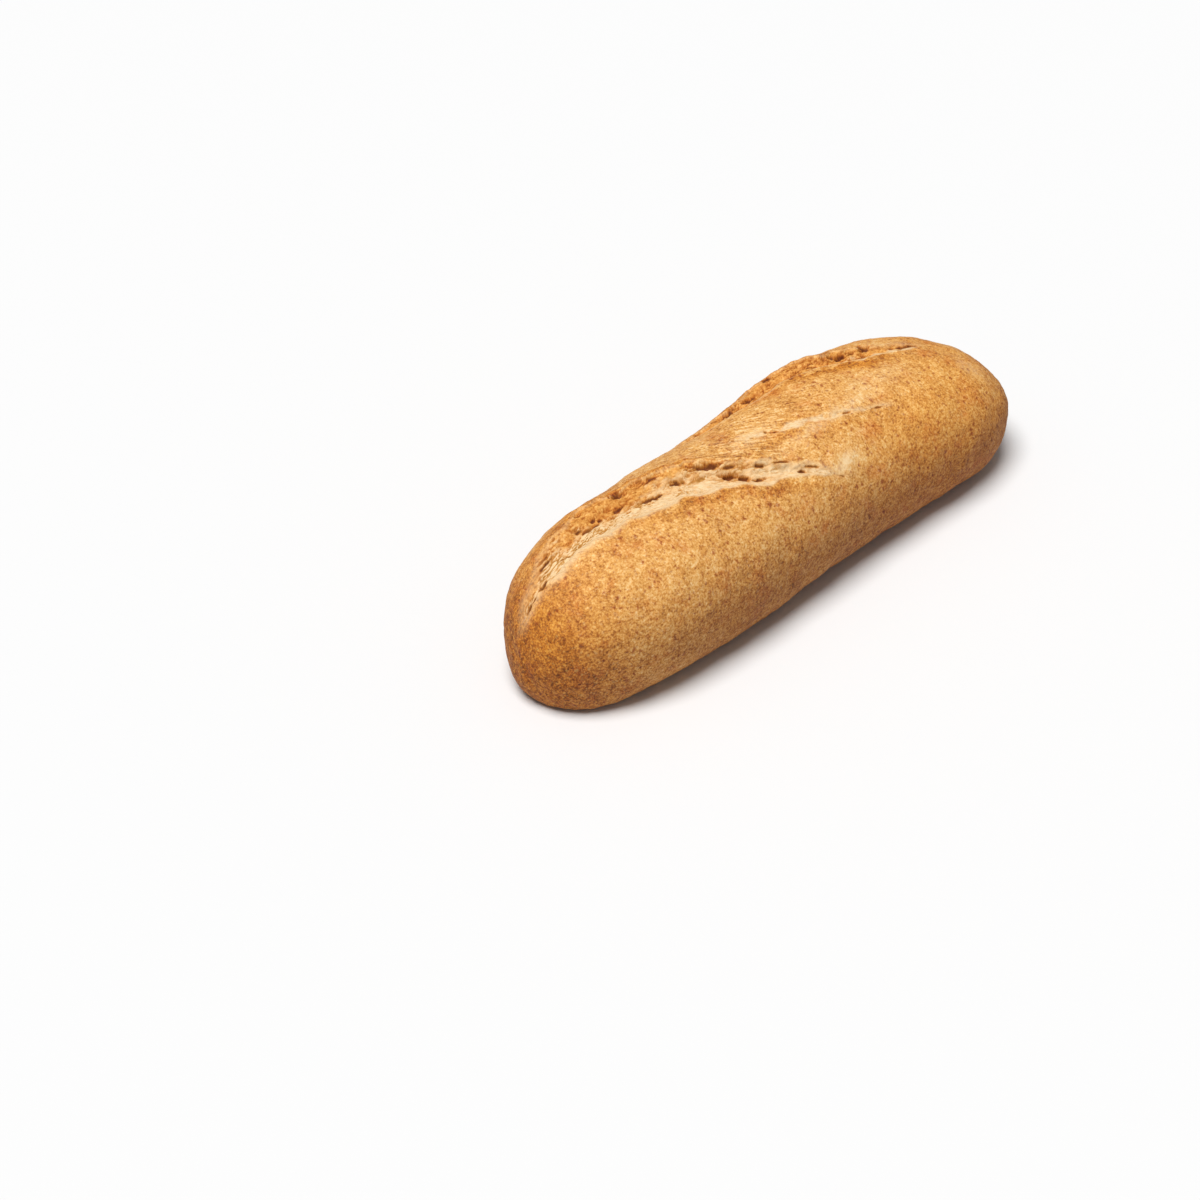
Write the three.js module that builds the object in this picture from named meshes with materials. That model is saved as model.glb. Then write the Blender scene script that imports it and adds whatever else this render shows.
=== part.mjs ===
// A small wholemeal baguette: one whole loaf lying on its flat base.
// Millimetres, +Z up. +X runs along the loaf and +Y across it. The origin lies
// under the middle of the loaf, on the surface that it rests on.
//
// The loaf is a long rounded body with blunt ends. Three blade cuts run along
// its top, each one slanting from the +Y side of the crest to the -Y side.
// Each cut has opened in the oven into a torn seam: a low lip on the -Y side,
// a sunken rough floor, and on the +Y side a raised ear of crust.

import * as THREE from 'three';
import { mergeVertices } from 'three/addons/utils/BufferGeometryUtils.js';

// ---- Driving dimensions: the body -----------------------------------------

const LENGTH = 222;
const WIDTH = 64.5;
const HEIGHT = 52.5;
const WIDEST_LEVEL = 0.42; // height of the widest line, as a share of HEIGHT
const TIP_LEVEL = 0.33; // height of the two tips, as a share of HEIGHT
const TAPER = 0.07; // how much wider the +X end is than the middle, as a share
const BOW = 2.3; // the middle bends this far towards +Y
const SWAY = 2.5; // and the +X half this far towards +Y, the -X half towards -Y

// Exponents of the outlines: 2 is an ellipse, and more is blunter and squarer.
const PLAN_FULLNESS = 5.6;
const CREST_FULLNESS_NEAR = 6.5; // the -X end
const CREST_FULLNESS_FAR = 2.8; // the +X end
const UNDERSIDE_FULLNESS = 16;
const UPPER_SECTION = 2.1;
const LOWER_SECTION = 2.4;

const UNDERSIDE_DEPTH = 1.2; // depth of the round underside, before the base flattens it
const BASE_EDGE = 3; // the flat base turns into the sides over about this height

// Long, low swellings of the dough: their height, wavelength along X, number
// of waves round the section, and two phases.
const SWELLINGS = [
  { height: 0.2, length: 104, round: 1, shift: 0.1, turn: 0.2 },
  { height: 0.2, length: 61, round: 2, shift: 1.3, turn: 3.1 },
  { height: 0.2, length: 37, round: 3, shift: 4.8, turn: 1.6 },
  { height: 0.15, length: 22, round: 5, shift: 1.9, turn: 2.7 },
];

// A shallow waist high on the +Y side, where the far cut starts.
const WAIST = { x: 2, around: 25, halfLength: 26, halfWidth: 12, depth: 2.1 };

// ---- Driving dimensions: the cuts ------------------------------------------

// from, to: the two ends of the cut, along X. path: the middle of the cut as
// [along X, distance round the crust from the crest, + towards +Y]; it runs on
// past the ends of the cut, for the mesh lines that follow it. width: the
// widest opening. swell: below 1 puts the widest place nearer the -X end.
// ear, floor, lip: heights and depths. lean: how far the ear leans over the
// floor. back: how far the ear reaches back over the crust. softUntil: the
// edge of the crust sharpens up to this far from the -X end of the cut. pits:
// torn pits in the floor and the wall, as [along X, distance from the middle
// of the cut, half-length, half-width, depth].
const LONG_CUT = {
  from: -110, to: 15, width: 17, swell: 0.78,
  path: [
    [-110, 2.5], [-76, 6.5], [-50, 2.5], [-35, -2.5], [-20, -11.5], [0, -22.5], [15, -34],
    [45, -36], [95, -30],
  ],
  ear: 2.6, floor: 2.0, lip: 0.3, lean: 1.6, back: 9, softUntil: 34,
  pits: [
    [-95, 2.5, 3.8, 1.8, 0.9],
    [-79, 2.4, 2.8, 1.8, 0.8],
    [-72, 2.2, 2.8, 1.8, 0.9],
    [-63, 1.7, 3.2, 1.8, 1.1],
    [-60, 7.0, 3.2, 2.2, 1.9],
    [-51, -0.1, 4.8, 1.8, 1.1],
    [-41, 2.0, 3.2, 1.8, 1.4],
    [-30, 5.0, 4.4, 2.0, 2.0],
    [-25, 0.6, 3.6, 2.1, 1.4],
    [-19, -2.0, 3.4, 1.7, 1.1],
    [-15, 3.1, 3.0, 1.6, 0.7],
  ],
};
const MIDDLE_CUT = {
  from: -20, to: 48, width: 3, swell: 1,
  path: [[-20, 4], [5, -5.5], [27, -13], [48, -20]],
  ear: 0.3, floor: 0.5, lip: 0.1, lean: 0, back: 4, softUntil: 10,
  pits: [],
};
const FAR_CUT = {
  from: -30, to: 87, width: 12, swell: 1,
  path: [
    [-110, 26], [-85, 33], [-60, 33], [-30, 25], [0, 20], [20, 19], [32, 17], [44, 11.5], [60, 6], [87, 1],
  ],
  ear: 2.2, floor: 1.6, lip: 0.3, lean: 1.3, back: 8, softUntil: 10,
  pits: [
    [5.6, 3.8, 4.4, 1.6, 1.6],
    [16, 3.4, 3.8, 1.6, 1.3],
    [27, 5.0, 3.2, 1.6, 0.8],
    [34, -2.9, 3.0, 1.6, 0.8],
    [51, 2.8, 5.6, 1.8, 1.8],
    [62, 3.6, 3.2, 1.7, 1.4],
  ],
};
const CUTS = [LONG_CUT, MIDDLE_CUT, FAR_CUT];

const LIP_SPREAD = 2.2; // how far the lip reaches to each side
const LIP_SLOPE = 3; // width of the slope from the lip down to the floor
const WALL_SHARE = 0.5; // share of a cut's width that its torn wall slopes over
const CRUST_EDGE = 0.5; // half-width of the broken edge of the crust at the top of that wall
const SOFT_EDGE = 4.5; // and at the ends of a cut
const CRUST_SHARE = 0.3; // share of the wall's height that this edge takes
const LOWEST = 0.4; // the floor is lowest at this share of the way from lip to ear
const LOWEST_SPREAD = 0.3; // and over about this share of the way to each side
const RAGGED = 0.7; // how far a cut's torn edges stray
const RAGGED_LENGTHS = [19, 11, 6.7]; // wavelengths of that straying

// ---- Resolution -------------------------------------------------------------

const LENGTH_STEPS = 102;
const SIDE_STEPS = 13;
const LINES = 4 * SIDE_STEPS; // mesh lines that run along the loaf
const END_CROWDING = 9; // odd; a low one draws the mesh rings towards the tips
const CAP_START = 0.87; // where the end caps of the mesh start
const GUIDED_UNTIL = 0.7; // the mesh lines follow the cuts as far as this
const FREE_FROM = 0.93; // and are evenly spread from here to the tip
const CLOSED_HALF = 3; // half-distance of the mesh lines where a cut is shut

// Number of the first mesh line of each wide cut, counted from the middle of
// the underside up the +Y side.
const FIRST_LINES = [[FAR_CUT, 13], [LONG_CUT, 30]];

// ---- Small helpers ----------------------------------------------------------

const { clamp, lerp, smoothstep } = THREE.MathUtils;

const signedPower = (value, power) => Math.sign(value) * Math.abs(value) ** power;

const roundOff = (along, fullness) => Math.sqrt(Math.max(0, 1 - Math.abs(along) ** fullness));

const bell = (distance) => Math.exp(-distance * distance);

// The larger of value and 0 with a rounded corner, and exactly 0 well below it.
function flattenBelow(value, rounding) {
  const overlap = Math.max(rounding - Math.abs(value), 0);
  return Math.max(value, 0) + (overlap * overlap) / (4 * rounding);
}

// A smooth curve y(x) through points of growing x, level with the end points
// beyond them.
function curveThrough(points, x) {
  const last = points.length - 1;
  let i = 0;
  while (i < last - 1 && x > points[i + 1][0]) i += 1;
  const slopeAt = (k) => {
    const before = points[Math.max(k - 1, 0)];
    const after = points[Math.min(k + 1, last)];
    return (after[1] - before[1]) / (after[0] - before[0]);
  };
  const [x0, y0] = points[i];
  const [x1, y1] = points[i + 1];
  const span = x1 - x0;
  const t = clamp((x - x0) / span, 0, 1);
  const rise = t * t * (3 - 2 * t);
  const slopes = slopeAt(i) * t * (1 - t) * (1 - t) - slopeAt(i + 1) * t * t * (1 - t);
  return lerp(y0, y1, rise) + span * slopes;
}

// y(x) along straight lines between points of growing x.
function stepBetween(points, x) {
  let i = 0;
  while (i < points.length - 2 && x > points[i + 1][0]) i += 1;
  const [x0, y0] = points[i];
  const [x1, y1] = points[i + 1];
  return lerp(y0, y1, (x - x0) / (x1 - x0));
}

// ---- The body ---------------------------------------------------------------

// station runs from -1 at one tip to 1 at the other. The share of the
// half-length that it stands for grows evenly, and slows down near the tips.
function alongAt(station) {
  return (END_CROWDING * station - station ** END_CROWDING) / (END_CROWDING - 1);
}

function halfWidthAt(along) {
  return (WIDTH / 2) * roundOff(along, PLAN_FULLNESS) * (1 + TAPER * along);
}

// turn runs round the section: 0 at +Y, 90 degrees at the crest, 180 at -Y.
function bodyPoint(station, turn) {
  const along = alongAt(station);
  const crest = roundOff(along, along < 0 ? CREST_FULLNESS_NEAR : CREST_FULLNESS_FAR);
  const level = HEIGHT * lerp(TIP_LEVEL, WIDEST_LEVEL, crest);
  const upper = Math.sin(turn) >= 0;
  const section = upper ? UPPER_SECTION : LOWER_SECTION;
  const reach = upper
    ? HEIGHT * (1 - WIDEST_LEVEL) * crest
    : HEIGHT * WIDEST_LEVEL * UNDERSIDE_DEPTH * roundOff(along, UNDERSIDE_FULLNESS);
  const middle = BOW * (1 - along * along) + SWAY * Math.sin(Math.PI * along);
  return new THREE.Vector3(
    (LENGTH / 2) * along,
    middle + halfWidthAt(along) * signedPower(Math.cos(turn), 2 / section),
    level + reach * signedPower(Math.sin(turn), 2 / section),
  );
}

function swelling(x, turn, around) {
  let height = -WAIST.depth * bell(Math.hypot(
    (x - WAIST.x) / WAIST.halfLength,
    (around - WAIST.around) / WAIST.halfWidth,
  ));
  for (const wave of SWELLINGS) {
    height += wave.height
      * Math.sin((2 * Math.PI * x) / wave.length + wave.shift)
      * Math.sin(wave.round * turn + wave.turn);
  }
  return height;
}

// ---- The cuts ---------------------------------------------------------------

function straying(x, seed) {
  let offset = 0;
  RAGGED_LENGTHS.forEach((length, k) => {
    offset += Math.sin((2 * Math.PI * x) / length + seed * (k + 1)) / (k + 1);
  });
  return RAGGED * offset;
}

// How far the cut is open at x, from 0 at its ends to 1.
function openness(cut, x) {
  const t = clamp((x - cut.from) / (cut.to - cut.from), 0, 1);
  return Math.sin(Math.PI * t ** cut.swell);
}

// Distances round the crust of the cut's lip and of its ear.
function edgesAt(cut, x, leastHalf) {
  const half = (cut.width / 2) * openness(cut, x);
  const middle = curveThrough(cut.path, x);
  const stray = Math.min(1, half / 4);
  return {
    lip: middle - Math.max(half, leastHalf) + stray * straying(x, cut.width),
    ear: middle + Math.max(half, leastHalf) + stray * straying(x, cut.width + 2),
  };
}

function pitDepth(cut, x, around) {
  const across = around - curveThrough(cut.path, x);
  let depth = 0;
  for (const [pitX, pitAcross, halfLength, halfWidth, pit] of cut.pits) {
    depth += pit * bell(Math.hypot((x - pitX) / halfLength, (across - pitAcross) / halfWidth));
  }
  return depth;
}

// How a cut changes the crust: raise is outward, and lean is towards -Y. The
// floor sinks away from the lip to its lowest part, and from there the torn
// wall slopes up to the broken edge of the ear's crust.
function cutRelief(cut, x, around) {
  if (x <= cut.from || x >= cut.to) return { raise: 0, lean: 0 };
  const open = openness(cut, x);
  const fade = Math.min(1, open * 1.2) ** 1.5;
  const { lip, ear } = edgesAt(cut, x, 0);
  const gap = Math.max(ear - lip, 1);
  const pastLip = around - lip;
  const pastEar = around - ear;
  const wall = smoothstep(pastEar, -gap * WALL_SHARE, 0);
  const sharp = Math.min(1, open * 1.3, (x - cut.from) / cut.softUntil);
  const edge = lerp(SOFT_EDGE, CRUST_EDGE, sharp);
  const crustEdge = smoothstep(pastEar, -edge, edge);
  const upEar = lerp(wall, crustEdge, CRUST_SHARE);
  const onEar = upEar * Math.exp(-Math.max(pastEar, 0) / cut.back);
  const onFloor = smoothstep(pastLip, 0, LIP_SLOPE) * (1 - upEar);
  const fromLowest = (clamp(pastLip / gap, 0, 1) - LOWEST) / LOWEST_SPREAD;
  return {
    raise: fade * (cut.lip * bell(pastLip / LIP_SPREAD)
      + cut.ear * onEar
      - cut.floor * onFloor * lerp(0.55, 1, bell(fromLowest)))
      - pitDepth(cut, x, around),
    lean: fade * cut.lean * onEar,
  };
}

// ---- The mesh lines ---------------------------------------------------------

// Angle of a point on the square (u, v), with equal steps along each side.
function squareAngle(u, v) {
  const quarter = Math.PI / 4;
  if (Math.abs(u) >= Math.abs(v)) {
    return u > 0 ? (quarter * v) / u : Math.PI + (quarter * v) / u;
  }
  return v > 0 ? 2 * quarter - (quarter * u) / v : 6 * quarter - (quarter * u) / v;
}

// Turns an evenly spread angle into one whose mesh line follows the cuts.
function guidedTurn(station, even) {
  const free = smoothstep(Math.abs(station), GUIDED_UNTIL, FREE_FROM);
  const along = alongAt(station);
  const halfWidth = halfWidthAt(along);
  if (free === 1 || halfWidth === 0) return even;
  const bottom = Math.PI * halfWidth;
  const table = [[0, bottom]];
  for (const [cut, first] of FIRST_LINES) {
    const { lip, ear } = edgesAt(cut, (LENGTH / 2) * along, CLOSED_HALF);
    table.push([first, ear + 5], [first + 2, ear + CRUST_EDGE], [first + 3, ear - CRUST_EDGE]);
    table.push([first + 6, lip + LIP_SLOPE * 0.6], [first + 7, lip], [first + 8, lip - LIP_SPREAD]);
  }
  table.push([LINES, -bottom]);
  const fromBottom = even >= 1.5 * Math.PI ? even - 1.5 * Math.PI : even + Math.PI / 2;
  const around = stepBetween(table, (fromBottom / (2 * Math.PI)) * LINES);
  const evenAround = bottom - fromBottom * halfWidth;
  return Math.PI / 2 - lerp(around, evenAround, free) / halfWidth;
}

// Station and turn of each vertex of a box from -1 to 1: its four long faces
// wrap round the loaf, and its two end faces cap the tips.
function wrapBox(box) {
  const position = box.getAttribute('position');
  const places = [];
  for (let i = 0; i < position.count; i += 1) {
    const x = position.getX(i);
    const y = position.getY(i);
    const z = position.getZ(i);
    const onCap = Math.abs(x) > 1 - 1e-6;
    const rim = Math.max(Math.abs(y), Math.abs(z));
    const station = onCap ? Math.sign(x) * (1 - (1 - CAP_START) * rim) : x * CAP_START;
    places.push({ station, turn: guidedTurn(station, squareAngle(y, z)) });
  }
  return places;
}

// ---- The loaf's surface -----------------------------------------------------

function placeOnBody(geometry, places) {
  const position = geometry.getAttribute('position');
  places.forEach(({ station, turn }, i) => {
    const point = bodyPoint(station, turn);
    position.setXYZ(i, point.x, point.y, point.z);
  });
}

// Splits each quad of the box, two triangles a-b-d and b-c-d, along its shorter
// diagonal, so that slanting mesh lines leave no wrinkles.
function splitAcross(geometry) {
  const position = geometry.getAttribute('position');
  const index = geometry.getIndex();
  const corner = (place) => new THREE.Vector3().fromBufferAttribute(position, place);
  for (let i = 0; i < index.count; i += 6) {
    const [a, b, d, , c] = index.array.slice(i, i + 6);
    if (corner(a).distanceTo(corner(c)) < corner(b).distanceTo(corner(d))) {
      [a, b, c, a, c, d].forEach((place, k) => index.setX(i + k, place));
    }
  }
}

function addRelief(geometry, places) {
  const position = geometry.getAttribute('position');
  const normal = geometry.getAttribute('normal');
  const lengthwise = new THREE.Vector3(1, 0, 0);
  const point = new THREE.Vector3();
  const outward = new THREE.Vector3();
  const towardsLip = new THREE.Vector3();
  places.forEach(({ station, turn }, i) => {
    point.fromBufferAttribute(position, i);
    outward.fromBufferAttribute(normal, i);
    towardsLip.crossVectors(outward, lengthwise).negate().normalize();
    const around = halfWidthAt(alongAt(station)) * (Math.PI / 2 - turn);
    const onTop = smoothstep(point.z, HEIGHT * 0.3, HEIGHT * 0.5);
    let raise = swelling(point.x, turn, around);
    let lean = 0;
    for (const cut of CUTS) {
      const relief = cutRelief(cut, point.x, around);
      raise += onTop * relief.raise;
      lean += onTop * relief.lean;
    }
    point.addScaledVector(outward, raise).addScaledVector(towardsLip, lean);
    position.setXYZ(i, point.x, point.y, flattenBelow(point.z, BASE_EDGE));
  });
}

// Puts the middle of the loaf's box over the origin.
function centreOverOrigin(geometry) {
  geometry.computeBoundingBox();
  const { min, max } = geometry.boundingBox;
  geometry.translate(-(min.x + max.x) / 2, -(min.y + max.y) / 2, -min.z);
}

function loafGeometry() {
  const box = new THREE.BoxGeometry(2, 2, 2, LENGTH_STEPS, SIDE_STEPS, SIDE_STEPS);
  box.deleteAttribute('normal');
  box.deleteAttribute('uv');
  const geometry = mergeVertices(box, 1e-5);
  const places = wrapBox(geometry);
  placeOnBody(geometry, places);
  splitAcross(geometry);
  geometry.computeVertexNormals();
  addRelief(geometry, places);
  centreOverOrigin(geometry);
  geometry.computeVertexNormals();
  return geometry;
}

// ---- The object -------------------------------------------------------------

const crust = new THREE.MeshStandardMaterial({ color: 0xc08a4a, roughness: 0.8, metalness: 0 });
const loaf = new THREE.Mesh(loafGeometry(), crust);
loaf.name = 'loaf';

const baguette = new THREE.Group();
baguette.add(loaf);

export default baguette;
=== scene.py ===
import math

import bmesh
import bpy
import numpy as np
from mathutils import Matrix, Vector, noise


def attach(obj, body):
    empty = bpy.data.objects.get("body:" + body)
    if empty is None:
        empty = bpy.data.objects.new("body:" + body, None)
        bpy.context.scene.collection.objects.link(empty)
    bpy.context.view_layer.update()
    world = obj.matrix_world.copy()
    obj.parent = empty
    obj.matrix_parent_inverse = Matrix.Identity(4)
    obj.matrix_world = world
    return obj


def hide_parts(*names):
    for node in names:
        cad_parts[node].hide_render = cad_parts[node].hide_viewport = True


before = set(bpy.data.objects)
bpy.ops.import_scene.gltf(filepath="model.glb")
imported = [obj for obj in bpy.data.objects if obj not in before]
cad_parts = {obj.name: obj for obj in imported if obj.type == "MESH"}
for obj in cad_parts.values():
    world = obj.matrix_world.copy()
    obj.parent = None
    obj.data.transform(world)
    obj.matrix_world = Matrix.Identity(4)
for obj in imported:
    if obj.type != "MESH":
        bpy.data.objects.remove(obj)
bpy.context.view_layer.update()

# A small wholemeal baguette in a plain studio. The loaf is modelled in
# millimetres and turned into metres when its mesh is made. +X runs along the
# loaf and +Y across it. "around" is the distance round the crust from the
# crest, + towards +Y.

MM = 0.001

# ---- The body: the same sizes as the solid ----------------------------------

LENGTH = 222
WIDTH = 64.5
HEIGHT = 52.5
WIDEST_LEVEL = 0.42  # height of the widest line, as a share of HEIGHT
TIP_LEVEL = 0.33  # height of the two tips, as a share of HEIGHT
TAPER = 0.07  # how much wider the +X end is than the middle, as a share
BOW = 2.3  # the middle bends this far towards +Y
SWAY = 2.5  # and the +X half this far towards +Y, the -X half towards -Y

# Exponents of the outlines: 2 is an ellipse, and more is blunter and squarer.
PLAN_FULLNESS = 5.6
CREST_FULLNESS_NEAR = 6.5  # the -X end
CREST_FULLNESS_FAR = 2.8  # the +X end
UNDERSIDE_FULLNESS = 16
UPPER_SECTION = 2.1
LOWER_SECTION = 2.4

UNDERSIDE_DEPTH = 1.2  # depth of the round underside, before the base flattens it
BASE_EDGE = 3  # the flat base turns into the sides over about this height
END_CROWDING = 9  # odd; a low one draws the stations along the loaf towards the tips
CAP_START = 0.87  # where the end caps of the mesh start

# Long, low swellings of the dough: height, wavelength along X, waves round the section, and
# two phases.
SWELLINGS = [
    (0.2, 104, 1, 0.1, 0.2),
    (0.2, 61, 2, 1.3, 3.1),
    (0.2, 37, 3, 4.8, 1.6),
    (0.15, 22, 5, 1.9, 2.7),
]
# A shallow waist on the +Y side: along X, around, half-length, half-width, depth.
WAIST = (2, 25, 26, 12, 2.1)
# Finer unevenness of the crust: height, size, seed, octaves.
UNEVENNESS = [
    (0.3, 11, 1, 3),
    (0.22, 3.0, 2, 2),
]

# ---- The cuts ----------------------------------------------------------------

# start, end: the two ends of the cut, along X. path: its middle, as (along X, around). width:
# the widest opening. swell: below 1 puts the widest place nearer the start. ear, floor, lip:
# heights and depths. lean: how far the ear leans over the floor. back: how far the ear reaches
# back over the crust. soft_until: the edge of the crust sharpens up to this far from the start.
# rough: how rough the torn crumb is. broken: how far skin bridges the cut. faint_until: the lip
# is faint up to here along X. pale: the share of the way from lip to ear that is pale crumb, as
# (along X, share). calm: smooth pale crumb, as (along X, distance from the middle of the cut,
# half-length, half-width). pits: torn pits, the same and then the depth.
LONG_CUT = dict(
    start=-110, end=15, width=17, swell=0.78,
    path=[(-110, 2.5), (-76, 6.5), (-50, 2.5), (-35, -2.5), (-20, -11.5), (0, -22.5), (15, -34)],
    ear=2.6, floor=2.0, lip=0.3, lean=1.6, back=9, soft_until=34, rough=1.0, broken=0, faint_until=-55,
    pale=[(-110, 0.6), (-84, 0.6), (-66, 0.38), (-42, 0.62), (-28, 0.72), (-12, 1.1)],
    calm=[(-36, -1.6, 6.5, 2.6), (-53, -4.5, 8.0, 1.6)],
    pits=[
        (-105.8, -0.5, 0.9, 0.6, 0.5),
        (-103.6, -1.0, 1.0, 0.7, 0.6),
        (-100.3, -1.6, 1.6, 1.3, 0.7),
        (-95.2, 2.7, 3.4, 0.6, 0.9),
        (-79.2, 2.4, 1.7, 1.3, 0.7),
        (-73.5, 0.5, 1.5, 0.5, 0.6),
        (-72.8, 2.8, 1.0, 1.0, 0.9),
        (-70.9, 1.4, 0.8, 0.6, 0.8),
        (-63.3, 1.7, 2.4, 1.0, 1.1),
        (-60, 7.0, 2.9, 1.4, 1.9),
        (-51.4, -0.1, 5.0, 0.9, 1.1),
        (-47.6, 6.6, 2.3, 0.8, 0.8),
        (-41, 2.0, 2.7, 1.0, 1.4),
        (-30, 5.5, 4.4, 1.3, 2.1),
        (-25.2, 0.9, 2.8, 1.1, 1.8),
        (-24.2, 4.1, 2.4, 0.6, 0.8),
        (-22.3, -0.9, 1.8, 1.1, 1.6),
        (-18, -2.3, 2.9, 0.8, 1.0),
        (-15.5, 3.1, 1.9, 0.8, 0.7),
        (-8.7, 3.6, 3.6, 0.5, 0.6),
        (-3, -0.9, 1.2, 0.8, 1.0),
        (1.4, 1.5, 2.4, 0.5, 0.6),
        (9.8, -0.5, 1.8, 0.4, 0.5),
    ],
)
MIDDLE_CUT = dict(
    start=-20, end=48, width=3, swell=1,
    path=[(-20, 4), (5, -5.5), (27, -13), (48, -20)],
    ear=0.3, floor=0.5, lip=0.1, lean=0, back=4, soft_until=10, rough=0.5, broken=1, faint_until=-50,
    pale=[(-20, 1.1), (48, 1.1)],
    calm=[],
    pits=[
        (-13.4, 0.3, 0.7, 0.4, 0.4),
        (-7.8, -0.6, 0.7, 0.4, 0.4),
        (-1.9, 0.6, 0.6, 0.4, 0.4),
        (0, -0.4, 1.6, 0.5, 0.6),
        (27.9, 0.1, 1.4, 0.4, 0.5),
        (40, 0, 2.4, 0.5, 0.4),
    ],
)
FAR_CUT = dict(
    start=-30, end=87, width=12, swell=1,
    path=[(-30, 25), (0, 20), (20, 19), (32, 17), (44, 11.5), (60, 6), (87, 1)],
    ear=2.2, floor=1.6, lip=0.3, lean=1.3, back=8, soft_until=10, rough=1.0, broken=0, faint_until=30,
    pale=[(-30, -0.6), (25, -0.5), (45, 0.15), (87, 0.2)],
    calm=[],
    pits=[
        (5.6, 3.8, 4.2, 0.9, 1.6),
        (15.9, 3.4, 3.4, 0.8, 1.3),
        (27.5, 5.0, 2.2, 0.6, 0.9),
        (33.2, -2.9, 1.6, 0.6, 0.8),
        (50.8, 2.8, 5.8, 1.0, 1.9),
        (62.2, 3.6, 2.3, 1.1, 1.5),
        (77, 0.2, 6.0, 0.5, 0.6),
    ],
)
CUTS = [LONG_CUT, MIDDLE_CUT, FAR_CUT]
LIP_SPREAD = 2.2  # how far the lip reaches to each side
LIP_SLOPE = 3  # width of the slope from the lip down to the floor
WALL_SHARE = 0.5  # share of a cut's width that its torn wall slopes over
CRUST_EDGE = 0.5  # half-width of the broken edge of the crust at the top of that wall
SOFT_EDGE = 4.5  # and at the ends of a cut
CRUST_SHARE = 0.3  # share of the wall's height that this edge takes
LOWEST = 0.4  # the floor is lowest at this share of the way from lip to ear
LOWEST_SPREAD = 0.3  # and over about this share of the way to each side
RAGGED = 0.7  # how far a cut's torn edges stray
RAGGED_LENGTHS = (19, 11, 6.7)  # wavelengths of that straying
LIP_STRAY = 0.6  # how far the lip of a wide cut strays on a small scale
EAR_STRAY = 1.3  # and the ear
CLEAR_BORDER = 0.7  # half-width of the border between crust and crumb along the lip
FAINT_BORDER = 2.2  # and where the lip is faint
# Browned rims of crust: distance of the middle from the edge, half-width, strength.
LIP_RIM = (2.2, 2.4, 1.0)
EAR_RIM = (0.9, 1.1, 0.8)
FAINT_EAR_RIM = (3, 5, 0.7)

# Holes of the torn crumb: length, width, share of the cells that have one, depth.
HOLES = [
    (5.0, 1.5, 0.12, 0.7),
    (2.4, 0.9, 0.16, 0.4),
    (1.2, 0.6, 0.30, 0.3),
]
# Creases between the torn strands: length, width, seed, depth.
CREASES = [
    (9.0, 2.6, 21, 0.7),
    (4.5, 1.3, 22, 0.4),
]
# Soft folds of the torn crumb: depth, length, width, seed, octaves.
FOLDS = [
    (0.35, 7.0, 2.0, 5, 2),
    (0.15, 1.6, 0.8, 6, 3),
]
PIT_REACH = 4  # a pit can change the crumb out to this many times its own half-sizes

# Skin stretched between the long cut and the middle one: along X, around, half-length, half-width.
STRETCHED = (-12, -2, 34, 14)
# Pale patches of crust: the same and then the strength.
PALE_PATCHES = [
    (14.5, -27.5, 5.0, 3.2, 0.9),
    (-8, -1, 9.0, 2.6, 0.65),
    (-87, 1.5, 9.0, 2.6, 0.8),
    (48, -7, 12.0, 3.6, 0.35),
    (90, -13, 3.5, 6.0, 0.5),
    (100, 6, 6.0, 7.0, 0.35),
    (22, -11.5, 22.0, 2.2, 0.7),
]

# ---- Resolution ---------------------------------------------------------------

LENGTH_STEPS = 200
SIDE_STEPS = 43
CUT_REFINING = 4  # each mesh edge at the cuts is split into this many
CUT_MARGIN = 4  # mm of crust beside a cut that is refined with it
EASING = 0.5  # how far torn edges are evened out in one round
EASING_ROUNDS = 2

# ---- Small helpers --------------------------------------------------------------


def signed_power(value, power):
    return np.sign(value) * np.abs(value) ** power


def round_off(along, fullness):
    return np.sqrt(np.clip(1 - np.abs(along) ** fullness, 0, None))


def smooth_step(value, low, high):
    t = np.clip((value - low) / (high - low), 0, 1)
    return t * t * (3 - 2 * t)


def mix(low, high, share):
    return low + (high - low) * share


def bell(distance):
    return np.exp(-distance * distance)


def reach_from(place, x, across):
    """How far each point is from a place's middle, where 1 is the place's edge."""
    middle_x, middle_across, half_length, half_width = place
    return np.hypot((x - middle_x) / half_length, (across - middle_across) / half_width)


def patch(place, x, across):
    """A soft patch: 1 at a place's middle, fading to 0 beyond its edge."""
    return bell(reach_from(place, x, across))


def flatten_below(value, rounding):
    """The larger of value and 0 with a rounded corner, and exactly 0 well below it."""
    overlap = np.clip(rounding - np.abs(value), 0, None)
    return np.maximum(value, 0) + overlap * overlap / (4 * rounding)


def curve_through(points, x):
    """A smooth curve y(x) through points of growing x."""
    px = np.array([p[0] for p in points], float)
    py = np.array([p[1] for p in points], float)
    last = len(points) - 1
    before = np.maximum(np.arange(last + 1) - 1, 0)
    after = np.minimum(np.arange(last + 1) + 1, last)
    slope = (py[after] - py[before]) / (px[after] - px[before])
    i = np.clip(np.searchsorted(px, x) - 1, 0, last - 1)
    span = px[i + 1] - px[i]
    t = np.clip((x - px[i]) / span, 0, 1)
    rise = t * t * (3 - 2 * t)
    slopes = slope[i] * t * (1 - t) ** 2 - slope[i + 1] * t * t * (1 - t)
    return mix(py[i], py[i + 1], rise) + span * slopes


def grain(points, size, seed, octaves=1):
    """Smooth random values, mostly from -1 to 1, that vary over about size mm."""
    scaled = points / np.asarray(size, float) + seed * 17.31
    return np.array([noise.fractal(p, 1.0, 2.0, octaves) for p in scaled])


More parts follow.
